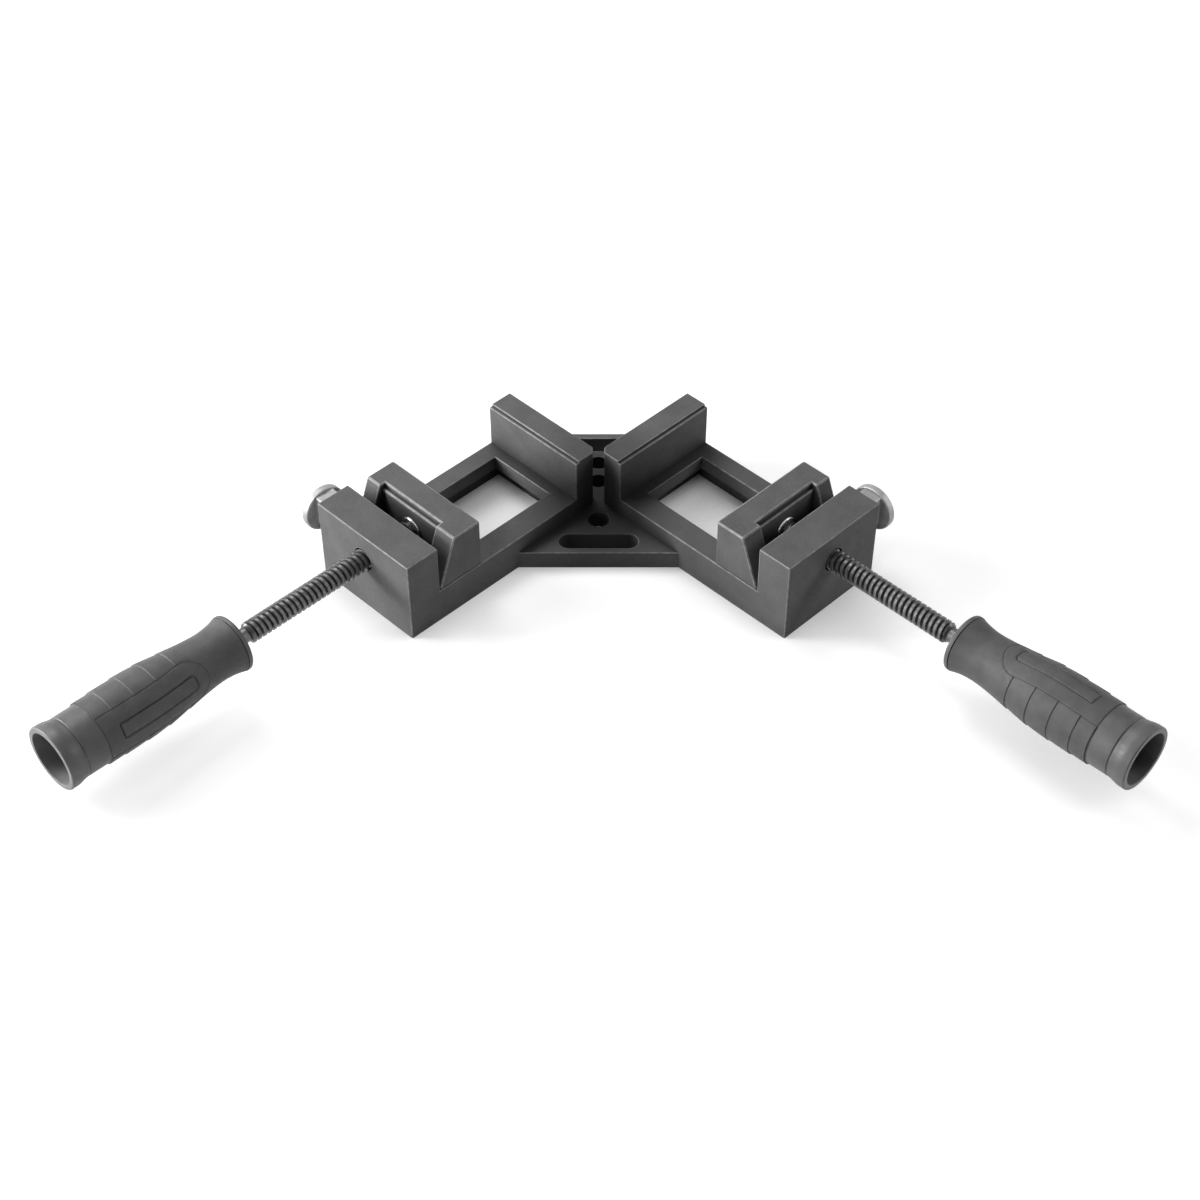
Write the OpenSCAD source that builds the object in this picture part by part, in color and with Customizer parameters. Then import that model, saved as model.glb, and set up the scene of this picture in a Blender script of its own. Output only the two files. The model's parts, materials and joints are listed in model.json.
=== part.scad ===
// Corner clamp: a cast body with two fixed jaws at a right angle, and on each arm a moving jaw
// that slides on a pair of rails and is driven by a screw with a soft-grip handle.
// A push button on each end block lifts a half nut off its screw, so that the jaw slides freely.
// Origin: centre of the corner hole, on the plane that the clamp stands on. Millimetres, +Z up.

/* [Arms] */
// Width of the rails and the jaws, along the clamped face
arm_w = 63.5; // [58:0.5:80]
// Distance from the corner line to the near end of the jaws
arm_start = 15.5; // [13:0.5:22]
// Height of the rails' sliding surface above the bench
rail_h = 19; // [17:0.5:24]
// Thickness of the deck that the rails form
deck_t = 8; // [6:0.5:9]
// Thickness of the side walls under the rails
skirt_t = 5; // [3:0.5:6]
// Width of the guide slot between the rails
slot_w = 39.6; // [34:0.2:42]

/* [Jaws] */
// Gap between a fixed jaw and its moving jaw when open
opening = 65; // [50:1:90]
// Gap that is left when the moving jaw is wound fully in
closed_gap = 3; // [1:0.5:6]
// Thickness of the fixed jaws
fixed_jaw_t = 14.4; // [10:0.2:20]
// Height of the fixed jaws above the bench
fixed_jaw_h = 43.7; // [38:0.1:55]
// Width of the gap between the two fixed jaws
jaw_gap = 5.8; // [4:0.1:9]
// Width of the step along the top of each clamping face
step_w = 1.8; // [1:0.1:3]
// Depth of the step along the top of each clamping face
step_d = 1.2; // [0.6:0.1:2.5]
// Height of the moving jaws above the rails
moving_jaw_h = 27.5; // [24:0.5:36]
// Thickness of a moving jaw at its top
jaw_top_t = 17; // [16:0.5:20]
// Thickness of a moving jaw where it stands on the rails
jaw_foot_t = 27.5; // [26:0.5:34]
// Thickness of the wall that the screw pushes on
jaw_wall_t = 15.6; // [14:0.2:15.8]
// Thickness of the top lip above the pocket
jaw_lip_t = 13.6; // [10:0.2:15]
// Depth of the ledge below the top lip
ledge_d = 3; // [2:0.5:5]
// Width of the pocket between the two end buttresses
pocket_w = 40.8; // [32:0.2:42]
// Radius of the upright corners beside a moving jaw's clamping face
jaw_corner_r = 1.5; // [1:0.5:4]

/* [Guide] */
// Length of the tongue that runs in the guide slot
tongue_l = 20; // [16:0.5:24]
// Width of the keeper plate under the rails
keeper_w = 48; // [44:0.5:49]
// Thickness of the keeper plate
keeper_t = 4; // [2.5:0.5:5]
// Distance between the two keeper screws
keeper_pitch = 24; // [18:1:28]
// Diameter of the keeper screws
keeper_screw_d = 5; // [4:0.5:6]
// Diameter of the pin that holds the screw's nose in the jaw
nose_pin_d = 3; // [2.5:0.5:3.5]

/* [End block] */
// Thickness of the end blocks
block_t = 19.3; // [18:0.1:26]
// Height of the end blocks above the bench
block_h = 46.5; // [44:0.5:56]
// How far the end blocks stand out past the far edge of the rails
block_overhang = 2; // [0:0.1:5]

/* [Screw] */
// Outside diameter of the screw thread
thread_d = 11; // [10:0.5:12]
// Pitch of the screw thread
pitch = 3; // [2:0.5:3]
// Height of the screws above the bench
screw_h = 30.5; // [29:0.5:31]
// Distance from the near edge of the arm to the screw
screw_edge = 33.5; // [31:0.5:34]
// Free length of screw between the end block and the handle when open
screw_free = 78.5; // [70:0.5:110]
// Outside diameter of the clip in the jaw pocket
clip_d = 13.6; // [13:0.2:16]
// Thickness of the clip
clip_t = 1.8; // [1:0.1:2.5]

/* [Handle] */
// Length of the handle
handle_l = 103.5; // [100:0.5:130]
// Diameter of the bead at the front of the handle
bead_d = 29.2; // [27:0.2:32]
// Diameter of the handle's waist
waist_d = 25.4; // [24:0.2:27]
// Diameter of the handle's belly
belly_d = 32.4; // [31:0.2:38]
// Diameter of the neck in front of the end rim
tail_d = 30.8; // [30:0.2:33]
// Diameter of the end rim
rim_d = 32.8; // [32:0.2:36]
// Diameter of the mouth of the hollow end
mouth_d = 27; // [24:0.2:28]
// Depth of the hollow end
hollow_l = 52; // [30:1:56]
// Thickness of the soft sleeve
sleeve_t = 2.4; // [1.8:0.1:2.6]
// Width of the smooth panel along the sleeve
panel_w = 21; // [14:0.5:22]
// Width of the plain recess in the panel
label_w = 7.5; // [5:0.5:10]
// Depth of the panel's recess and of the grip grooves
groove_d = 0.6; // [0.3:0.1:0.9]
// Number of grooves around the sleeve
grooves = 4; // [2:1:4]
// Distance from one groove to the next
groove_pitch = 12.3; // [8:0.1:13]

/* [Release button] */
// Diameter of the button
button_d = 24; // [18:0.2:26]
// Thickness of the button
button_t = 3.8; // [3:0.2:5]
// Gap between the end block and the button when it is out
button_gap = 5.6; // [4.5:0.1:7]
// How far the button travels when it is pressed
press = 3; // [2.5:0.1:3.5]
// Height of the button's centre above the screw
button_rise = 3.5; // [0:0.5:6]
// Thickness of the half-nut slide
slide_t = 10.8; // [9:0.2:11]
// Height of the half-nut slide
slide_h = 27.5; // [22:0.5:28]
// Diameter of the spring
spring_d = 6.4; // [5:0.2:7]
// Diameter of the spring's wire
wire_d = 0.9; // [0.7:0.1:1.1]
// Number of turns in the spring
spring_turns = 6; // [4:1:8]

/* [Corner plate] */
// Thickness of the plates that join the two arms
plate_t = 9.9; // [7:0.1:10]
// Distance from the corner hole to the line where the clamping faces meet
hole_y = 6.7; // [5:0.1:7]
// Diameter of the corner hole
corner_hole_d = 10.8; // [8:0.1:11]
// Distance from the clamping faces' corner to the front edge
front_edge = 18.2; // [18:0.1:24]
// Length of the two long slots
plate_slot_l = 39.9; // [24:0.1:40]
// Width of the two long slots
plate_slot_w = 10; // [6:0.1:10]
// Distance from the clamping faces' corner to the front slot
front_slot_y = 9.5; // [9:0.1:10]
// Diameter of the two holes in the back plate
back_hole_d = 9.2; // [6:0.1:9.6]
// Distance from the clamping faces' corner to the first back hole
back_hole_y = 36; // [35:0.5:38]
// Distance between the back holes, and from the second one to the back slot
back_pitch = 14.2; // [13.5:0.1:15]
// Width of the bar behind the back slot
back_bar = 4; // [3:0.5:8]

/* [Hidden] */
$fn = 64;

right = 1;
left = -1;
// Clearance of the jaw over the rails, of the keeper under them and of the tongue in its slot
slide_gap = 0.4;
// Radial running clearance of a screw or shaft in its hole
run_gap = 0.05;
// Clearance around pieces that never touch
free_gap = 0.3;
// Radial clearance of the screw in the end block
hole_gap = 0.7;
// Depth and width of the relief around a moving jaw's foot
foot_relief = 0.6;
foot_relief_w = 2;
// Overlap of parts of one casting, and how far a cut runs past the surface
lap = 2;

// Places along an arm, measured from the clamping face of the fixed jaw
arm_end = arm_start + arm_w;
screw_y = arm_start + screw_edge;
block_x = opening + jaw_foot_t + free_gap;
block_end = block_x + block_t;
block_y1 = arm_end + block_overhang;
jaw_z = rail_h + slide_gap;
jaw_top_z = rail_h + moving_jaw_h;
deck_z = rail_h - deck_t;
keeper_z = deck_z - slide_gap;
tongue_x = (jaw_foot_t - tongue_l) / 2;
slot_x0 = closed_gap + tongue_x - free_gap;
slot_x1 = opening + tongue_x + tongue_l + free_gap;

// Screw: nose in the jaw, clip, thread, neck and tang, as distances from the jaw's clamping face
root_d = thread_d - pitch - 0.5;
nose_d = root_d + 0.5;
nose_l = 11;
nose_groove_l = nose_pin_d + 0.4;
nose_groove_x = jaw_wall_t - nose_l + 3;
nose_groove_d = nose_d - 2.8;
clip_x = jaw_wall_t + run_gap;
thread_x = clip_x + clip_t;
neck_l = 6.5;
handle_x = block_end + screw_free - opening;
neck_x = handle_x - neck_l;
tang_d = root_d + 1.5;
tang_l = 38;
tang_flat = tang_d - 2;
pin_y = (nose_groove_d + nose_pin_d) / 2 + run_gap;

// Handle, as distances from its front end
bead_l = 2.8;
sleeve_x0 = bead_l + 0.4;
sleeve_front_d = bead_d - 0.5;
waist_x = 14.5;
belly_x = 57;
belly_l = 9;
rim_l = 10.5;
tail_l = 21.8;
sleeve_x1 = handle_l - tail_l;
sleeve_end_d = belly_d - 0.8;
ring_groove_w = 1.2;
ring_groove_x = handle_l - rim_l;
core_bead_r = 1.4;
tube_wall = 1.4;
hollow_neck_d = sleeve_end_d - 2 * (sleeve_t + tube_wall);
hollow_d = hollow_neck_d - 1;
panel_x0 = waist_x + 10;
label_x0 = panel_x0 + 6.5;
label_x1 = sleeve_x1 - 8;
groove_x = panel_x0 + panel_w / 2 + 1;

// Half-nut slide and its spring, across the arm
slide_x = block_end - 8.8;
slide_y1 = block_y1 + button_gap;
half_nut_wall = 7;
slide_y0 = screw_y - thread_d / 2 - half_nut_wall;
shank_y0 = block_y1 - press - 1;
shank_z0 = screw_h + button_rise - button_d / 2 + 5;
slide_slot_y0 = slide_y0 - press - 1;
spring_seat = 4.5;
spring_hole_l = 8;
spring_y0 = slide_slot_y0 - spring_hole_l;
spring_l = slide_y0 + spring_seat - spring_y0;
spring_hole_d = spring_d + 2 * free_gap;

// Plates between the arms, measured from the clamping faces' corner
back_slot_y = back_hole_y + 2 * back_pitch;
back_edge = back_slot_y + plate_slot_w / 2 + back_bar;

// Radius of the handle's outside at a distance from its front end
function swell(x) =
    x < waist_x ? waist_d + (sleeve_front_d - waist_d) * pow((waist_x - x) / (waist_x - sleeve_x0), 2)
    : x < belly_x ? waist_d + (belly_d - waist_d) * (1 - cos(180 * (x - waist_x) / (belly_x - waist_x))) / 2
    : x < belly_x + belly_l ? belly_d
    : belly_d + (sleeve_end_d - belly_d) * (x - belly_x - belly_l) / (sleeve_x1 - belly_x - belly_l);
function handle_r(x) = swell(x) / 2;

// Stations along the sleeve, close enough for its curves
sleeve_steps = 26;
stations = [for (i = [0:sleeve_steps]) sleeve_x0 + (sleeve_x1 - sleeve_x0) * i / sleeve_steps];

// Frame of one arm: x away from the fixed jaw, y along the clamped face
module arm(side) {
    translate([0, -hole_y, 0])
        mirror([side < 0 ? 1 : 0, 0, 0])
            rotate([0, 0, -45])
                children();
}

// Frame of the screw: z away from the jaw's clamping face, along the screw
module on_screw(x = 0) {
    translate([opening + x, screw_y, screw_h])
        rotate([0, 90, 0])
            children();
}

// A slot with round ends along x, centred, cut up from z = 0
module round_slot(length, width, height) {
    for (end = [-1, 1])
        translate([end * (length - width) / 2, 0, 0])
            cylinder(d = width, h = height);
    translate([-(length - width) / 2, -width / 2, 0])
        cube([length - width, width, height]);
}

// Rails, fixed jaw and end block of one arm, before the holes
module arm_casting() {
    translate([-fixed_jaw_t, arm_start, 0])
        cube([fixed_jaw_t, arm_w, fixed_jaw_h]);
    translate([-lap, arm_start, 0])
        cube([block_x + 2 * lap, arm_w, rail_h]);
    translate([block_x, arm_start, 0])
        cube([block_t, block_y1 - arm_start, block_h]);
}

// What is cut out of one arm
module arm_cuts() {
    // step along the top of the clamping face
    translate([-step_w, arm_start - lap, fixed_jaw_h - step_d])
        cube([step_w + lap, arm_w + 2 * lap, step_d + lap]);
    // hollow under the rails
    translate([0, arm_start + skirt_t, -lap])
        cube([block_x, arm_w - 2 * skirt_t, deck_z + lap]);
    // guide slot
    translate([slot_x0, screw_y - slot_w / 2, -lap])
        cube([slot_x1 - slot_x0, slot_w, rail_h + 2 * lap]);
    // screw hole through the end block
    translate([block_x - lap, screw_y, screw_h])
        rotate([0, 90, 0])
            cylinder(d = thread_d + 2 * hole_gap, h = block_t + 2 * lap);
    // way for the half-nut slide
    translate([slide_x - slide_t / 2 - slide_gap, slide_slot_y0, screw_h - slide_h / 2 - slide_gap])
        cube([slide_t + 2 * slide_gap, block_y1 - slide_slot_y0 + lap, slide_h + 2 * slide_gap]);
    // seat of the release spring
    translate([slide_x, spring_y0, screw_h])
        rotate([-90, 0, 0])
            cylinder(d = spring_hole_d, h = spring_hole_l + lap);
}

// Flat plates in front of and behind the fixed jaws, seen from above
module corner_plates() {
    apex_y = sqrt(2) * (arm_start + lap);
    wing_x = apex_y + front_edge;
    jaw_back = fixed_jaw_t - lap;
    end_x = (arm_end - fixed_jaw_t) / sqrt(2);
    end_y = (arm_end + fixed_jaw_t - 2 * lap) / sqrt(2);
    corner_cut = back_edge - end_y;
    linear_extrude(plate_t) {
        polygon([[-wing_x, -front_edge], [wing_x, -front_edge], [0, apex_y]]);
        polygon([[0, sqrt(2) * jaw_back], [end_x, end_y], [end_x - corner_cut, back_edge],
            [corner_cut - end_x, back_edge], [-end_x, end_y]]);
    }
}

// Die-cast body: both arms and the plates between them in one piece
module body_casting() {
    color("#38393b")
        difference() {
            union() {
                difference() {
                    for (side = [left, right])
                        arm(side)
                            arm_casting();
                    translate([-jaw_gap / 2, -hole_y, plate_t])
                        cube([jaw_gap, back_edge, fixed_jaw_h]);
                }
                translate([0, -hole_y, 0])
                    corner_plates();
            }
            for (side = [left, right])
                arm(side)
                    arm_cuts();
            translate([0, 0, -lap])
                cylinder(d = corner_hole_d, h = plate_t + 2 * lap);
            for (y = [back_hole_y, back_hole_y + back_pitch])
                translate([0, y - hole_y, -lap])
                    cylinder(d = back_hole_d, h = plate_t + 2 * lap);
            for (y = [-front_slot_y, back_slot_y])
                translate([0, y - hole_y, -lap])
                    round_slot(plate_slot_l, plate_slot_w, plate_t + 2 * lap);
        }
}

// Places of the two keeper screws under a moving jaw
module at_keeper_screws() {
    for (end = [-1, 1])
        translate([opening + jaw_foot_t / 2, screw_y + end * keeper_pitch / 2, 0])
            children();
}

// Moving jaw seen from above, with round corners beside its clamping face
module jaw_plan() {
    translate([jaw_corner_r, 0])
        square([jaw_foot_t - jaw_corner_r, arm_w]);
    translate([0, jaw_corner_r])
        square([jaw_foot_t, arm_w - 2 * jaw_corner_r]);
    for (y = [jaw_corner_r, arm_w - jaw_corner_r])
        translate([jaw_corner_r, y])
            circle(r = jaw_corner_r);
}

// Cast moving jaw: sloped end buttresses, a pocket for the screw, and the tongue below
module moving_jaw(side) {
    ledge_z = jaw_top_z - ledge_d;
    color("#3d3e40")
        arm(side)
            difference() {
                union() {
                    intersection() {
                        translate([opening, arm_end, 0])
                            rotate([90, 0, 0])
                                linear_extrude(arm_w)
                                    polygon([[0, jaw_z], [jaw_foot_t, jaw_z], [jaw_top_t, jaw_top_z],
                                        [0, jaw_top_z]]);
                        translate([opening, arm_start, jaw_z + foot_relief])
                            linear_extrude(jaw_top_z - jaw_z - foot_relief)
                                jaw_plan();
                    }
                    translate([opening + foot_relief_w, arm_start + foot_relief_w, jaw_z])
                        cube([jaw_foot_t - 2 * foot_relief_w, arm_w - 2 * foot_relief_w, lap]);
                    translate([opening + tongue_x, screw_y - slot_w / 2 + slide_gap, keeper_z])
                        cube([tongue_l, slot_w - 2 * slide_gap, rail_h - keeper_z + lap]);
                }
                translate([opening + jaw_wall_t, screw_y - pocket_w / 2, jaw_z + lap])
                    cube([jaw_foot_t, pocket_w, ledge_z - jaw_z - lap]);
                translate([opening + jaw_lip_t, screw_y - pocket_w / 2, ledge_z])
                    cube([jaw_foot_t, pocket_w, ledge_d + lap]);
                on_screw(jaw_wall_t - nose_l - free_gap)
                    cylinder(d = nose_d + 2 * run_gap, h = nose_l + lap);
                translate([opening + nose_groove_x + nose_groove_l / 2, screw_y + pin_y, keeper_z - lap])
                    cylinder(d = nose_pin_d, h = screw_h + nose_d - keeper_z + lap);
                at_keeper_screws()
                    translate([0, 0, keeper_z - lap])
                        cylinder(d = keeper_screw_d, h = deck_t + lap);
            }
}

// Steel plate under the rails, midway between the side walls, that keeps the jaw down
module keeper_plate(side) {
    color("#8a8c8e")
        arm(side)
            difference() {
                translate([opening + tongue_x - lap, arm_start + (arm_w - keeper_w) / 2, keeper_z - keeper_t])
                    cube([tongue_l + 2 * lap, keeper_w, keeper_t]);
                at_keeper_screws()
                    translate([0, 0, keeper_z - keeper_t - lap])
                        cylinder(d = keeper_screw_d + 2 * run_gap, h = keeper_t + 2 * lap);
            }
}

// Two pan-head screws that hold the keeper plate to the tongue
module keeper_screws(side) {
    head_d = 1.9 * keeper_screw_d;
    head_h = 0.6 * keeper_screw_d;
    socket_d = 0.5 * keeper_screw_d;
    head_z = keeper_z - keeper_t - head_h;
    color("#9b9da0")
        arm(side)
            at_keeper_screws()
                translate([0, 0, head_z])
                    difference() {
                        union() {
                            cylinder(d = head_d, h = head_h);
                            cylinder(d = keeper_screw_d, h = head_h + keeper_t + deck_t - free_gap);
                        }
                        translate([0, 0, -lap])
                            cylinder(d = socket_d, h = lap + head_h / 2, $fn = 6);
                    }
}

// Steel pin across the groove in the screw's nose, trapped above the keeper plate
module nose_pin(side) {
    color("#a4a6a8")
        arm(side)
            translate([opening + nose_groove_x + nose_groove_l / 2, screw_y + pin_y, keeper_z])
                cylinder(d = nose_pin_d, h = screw_h + nose_d - keeper_z);
}

// Half section of the clamping screw, with its thread drawn as rings
function thread_ring(x) = [
    [root_d / 2, x], [root_d / 2, x + 0.33 * pitch],
    [thread_d / 2, x + 0.47 * pitch], [thread_d / 2, x + 0.86 * pitch]];
thread_turns = floor((neck_x - thread_x) / pitch);
screw_outline = concat(
    [[0, jaw_wall_t - nose_l], [nose_d / 2, jaw_wall_t - nose_l], [nose_d / 2, nose_groove_x],
        [nose_groove_d / 2, nose_groove_x], [nose_groove_d / 2, nose_groove_x + nose_groove_l],
        [nose_d / 2, nose_groove_x + nose_groove_l], [nose_d / 2, thread_x], [root_d / 2, thread_x]],
    [for (i = [0:thread_turns - 1], point = thread_ring(thread_x + i * pitch)) point],
    [[root_d / 2, thread_x + thread_turns * pitch], [root_d / 2, handle_x],
        [tang_d / 2, handle_x], [tang_d / 2, handle_x + tang_l], [0, handle_x + tang_l]]);

// Blackened steel screw with a flatted tang inside the handle
module clamp_screw(side) {
    color("#232425")
        arm(side)
            on_screw()
                difference() {
                    rotate_extrude()
                        polygon(screw_outline);
                    for (flat = [-1, 1])
                        translate([flat * (tang_flat + tang_d) / 2 - tang_d / 2, -tang_d, handle_x + lap])
                            cube([tang_d, 2 * tang_d, tang_l]);
                }
}

// Open steel clip on the screw that bears on the jaw's wall
module screw_clip(side) {
    mouth = nose_d * 0.8;
    color("#b5b7b9")
        arm(side)
            on_screw(clip_x)
                difference() {
                    cylinder(d = clip_d, h = clip_t);
                    translate([0, 0, -lap])
                        cylinder(d = nose_d + 2 * run_gap, h = clip_t + 2 * lap);
                    translate([0, -mouth / 2, -lap])
                        cube([clip_d, mouth, clip_t + 2 * lap]);
                }
}

// Hard moulded core: front bead, tube under the sleeve, tail rings and the hollow end
module handle_core(side) {
    hollow_x = handle_l - hollow_l;
    bead_side = [for (a = [-90:15:90]) [bead_d / 2 - core_bead_r + core_bead_r * cos(a),
        bead_l / 2 + (bead_l / 2 - 0.4) * sin(a)]];
    under_sleeve = [for (x = stations) [handle_r(x) - sleeve_t, x]];
    tail = [[tail_d / 2, sleeve_x1], [tail_d / 2, ring_groove_x], [tail_d / 2 - groove_d, ring_groove_x],
        [tail_d / 2 - groove_d, ring_groove_x + ring_groove_w], [tail_d / 2, ring_groove_x + ring_groove_w],
        [tail_d / 2, handle_l - rim_l + 2], [rim_d / 2, handle_l - 4]];
    rim = [for (a = [0:30:90]) [rim_d / 2 - 2 + 2 * cos(a), handle_l - 2 + 2 * sin(a)]];
    hollow = [[mouth_d / 2, handle_l], [hollow_neck_d / 2, sleeve_x1], [hollow_d / 2, hollow_x],
        [0, hollow_x]];
    color("#2b2c2d")
        arm(side)
            on_screw(handle_x)
                difference() {
                    rotate_extrude()
                        polygon(concat([[0, 0.4]], bead_side, under_sleeve, tail, rim, hollow));
                    translate([0, 0, -lap])
                        cylinder(d = root_d + 2 * run_gap, h = 2 * lap);
                    intersection() {
                        cylinder(d = tang_d + 2 * run_gap, h = tang_l + run_gap);
                        union() {
                            cylinder(d = tang_d + 2 * run_gap, h = lap);
                            translate([-tang_flat / 2 - run_gap, -tang_d, 0])
                                cube([tang_flat + 2 * run_gap, 2 * tang_d, tang_l + run_gap]);
                        }
                    }
                }
}

// Outline of the smooth panel, drawn on a plane beside the sleeve and cut inwards
module panel_prism(x0, x1, width, round_front) {
    reach = belly_d;
    rotate([0, -90, 0])
        linear_extrude(reach)
            union() {
                translate([x0 + (round_front ? width / 2 : 0), -width / 2])
                    square([x1 - x0 - (round_front ? width / 2 : 0), width]);
                if (round_front)
                    translate([x0 + width / 2, 0])
                        circle(d = width);
            }
}

// Soft moulded sleeve with grip grooves, a smooth panel and a plain recess in the panel
module grip_sleeve(side, panel_angle) {
    outside = [for (x = stations) [handle_r(x), x]];
    inside = [for (i = [0:sleeve_steps]) [handle_r(stations[sleeve_steps - i]) - sleeve_t + run_gap,
        stations[sleeve_steps - i]]];
    groove_w = 1.2;
    label_floor = [for (x = stations) [handle_r(x) - groove_d, x]];
    color("#4a4b4c")
        arm(side)
            on_screw(handle_x)
                rotate([0, 0, panel_angle])
                    difference() {
                        rotate_extrude()
                            polygon(concat(outside, inside));
                        difference() {
                            for (i = [0:grooves - 1]) {
                                x = groove_x + groove_pitch * i;
                                rotate_extrude()
                                    translate([handle_r(x) - groove_d, x - groove_w / 2])
                                        square([lap, groove_w]);
                            }
                            panel_prism(panel_x0, sleeve_x1, panel_w, true);
                        }
                        difference() {
                            panel_prism(label_x0, label_x1, label_w, false);
                            rotate_extrude()
                                polygon(concat([[0, sleeve_x0]], label_floor, [[0, sleeve_x1]]));
                        }
                    }
}

// Zinc casting: round button outside, and a slide across the screw that holds the half nut
module release_button(side) {
    nut_d = thread_d + 2 * run_gap;
    color("#c9cacb")
        arm(side)
            difference() {
                union() {
                    difference() {
                        translate([slide_x - slide_t / 2, slide_y0, screw_h - slide_h / 2])
                            cube([slide_t, slide_y1 - slide_y0 + lap, slide_h]);
                        translate([slide_x - slide_t / 2 - lap, shank_y0, screw_h - slide_h / 2 - lap])
                            cube([slide_t + 2 * lap, slide_y1 - shank_y0 + 2 * lap,
                                  shank_z0 - screw_h + slide_h / 2 + lap]);
                    }
                    translate([slide_x, slide_y1, screw_h + button_rise])
                        rotate([-90, 0, 0])
                            cylinder(d = button_d, h = button_t);
                }
                for (side_y = [0, press + free_gap])
                    translate([slide_x - slide_t / 2 - lap, screw_y + side_y, screw_h])
                        rotate([0, 90, 0])
                            cylinder(d = nut_d, h = slide_t + 2 * lap);
                translate([slide_x - slide_t / 2 - lap, screw_y, screw_h - nut_d / 2])
                    cube([slide_t + 2 * lap, press + free_gap, nut_d]);
                translate([slide_x, slide_y0 - lap, screw_h])
                    rotate([-90, 0, 0])
                        cylinder(d = spring_hole_d, h = spring_seat + lap);
            }
}

// Round wire wound along z: one ring of points per step, joined into a closed tube
module coil(mean_d, wire, length, turns) {
    sides = 6;
    per_turn = 14;
    steps = turns * per_turn;
    rise = length - wire;
    function ring(i) = [for (k = [0:sides - 1])
        let (a = 360 * i / per_turn, b = 360 * k / sides, r = mean_d / 2 + wire / 2 * cos(b))
            [r * cos(a), r * sin(a), wire / 2 + rise * i / steps + wire / 2 * sin(b)]];
    points = [for (i = [0:steps]) each ring(i)];
    wall = [for (i = [0:steps - 1], k = [0:sides - 1])
        let (m = (k + 1) % sides)
            [i * sides + k, i * sides + m, (i + 1) * sides + m, (i + 1) * sides + k]];
    start_cap = [[for (k = [0:sides - 1]) sides - 1 - k]];
    end_cap = [[for (k = [0:sides - 1]) steps * sides + k]];
    polyhedron(points, concat(start_cap, wall, end_cap));
}

// Steel spring that pushes the slide out until the half nut meets the thread
module release_spring(side) {
    color("#aeb0b2")
        arm(side)
            translate([slide_x, spring_y0, screw_h])
                rotate([-90, 0, 0])
                    coil(spring_d - wire_d, wire_d, spring_l, spring_turns);
}

// How far each handle's panel is turned about its screw
right_panel_angle = -4;
left_panel_angle = 67;

body_casting();
moving_jaw(right);  // moving_jaw_right
keeper_plate(right);  // keeper_plate_right
keeper_screws(right);  // keeper_screws_right
nose_pin(right);  // nose_pin_right
clamp_screw(right);  // screw_right
screw_clip(right);  // screw_clip_right
handle_core(right);  // handle_core_right
grip_sleeve(right, right_panel_angle);  // grip_sleeve_right
release_button(right);  // release_button_right
release_spring(right);  // release_spring_right
moving_jaw(left);  // moving_jaw_left
keeper_plate(left);  // keeper_plate_left
keeper_screws(left);  // keeper_screws_left
nose_pin(left);  // nose_pin_left
clamp_screw(left);  // screw_left
screw_clip(left);  // screw_clip_left
handle_core(left);  // handle_core_left
grip_sleeve(left, left_panel_angle);  // grip_sleeve_left
release_button(left);  // release_button_left
release_spring(left);  // release_spring_left
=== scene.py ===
import json
import math

import bmesh
import bpy
from mathutils import Matrix, Vector


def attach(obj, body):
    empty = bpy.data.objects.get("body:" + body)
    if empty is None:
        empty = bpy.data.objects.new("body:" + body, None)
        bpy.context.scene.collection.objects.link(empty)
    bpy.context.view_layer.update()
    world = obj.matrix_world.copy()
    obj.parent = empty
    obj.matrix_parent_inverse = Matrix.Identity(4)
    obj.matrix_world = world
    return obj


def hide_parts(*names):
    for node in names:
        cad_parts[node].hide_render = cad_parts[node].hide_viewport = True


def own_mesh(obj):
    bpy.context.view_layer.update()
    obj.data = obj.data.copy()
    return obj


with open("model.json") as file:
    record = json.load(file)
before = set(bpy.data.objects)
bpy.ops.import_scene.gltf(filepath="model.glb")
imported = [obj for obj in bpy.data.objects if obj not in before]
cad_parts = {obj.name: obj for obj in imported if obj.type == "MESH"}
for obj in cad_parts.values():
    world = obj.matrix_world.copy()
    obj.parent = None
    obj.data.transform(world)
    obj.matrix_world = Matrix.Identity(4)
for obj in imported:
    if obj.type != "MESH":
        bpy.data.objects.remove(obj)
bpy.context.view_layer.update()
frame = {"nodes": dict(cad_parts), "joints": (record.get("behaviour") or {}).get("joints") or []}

# Body casting
# One zinc die casting holds both arms, the fixed jaws, the end blocks and the corner plates.
# It is tumbled and powder coated in satin black, so its edges are round; the coat paints them paler, partly
# as rub wear and partly as a painted highlight.
SIDES = ("right", "left")
MM = 0.001
BODY_EDGE = 0.5
EDGE_STEPS = 3
SHARP, FLAT = math.radians(40), math.radians(0.3)
SOLID_WELD = 0.02
COAT, COAT_DARKEST, COAT_PALEST = 0.107, 0.1, 3.4
# Painted shade in the coat's hollows: how far it looks for walls, in mm, and the darkest share
HOLLOW_SHADE_REACH, HOLLOW_SHADE_LEVEL = 30.0, 0.1
# Painted shade round the clamp's inner corner: its centre, and its near and far edges, in metres, and the
# darkest share
CORNER, CORNER_SHADE_LEVEL = (0.0, 0.005, 0.012), 0.12
CORNER_SHADE_NEAR, CORNER_SHADE_FAR = 0.02, 0.048


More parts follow.
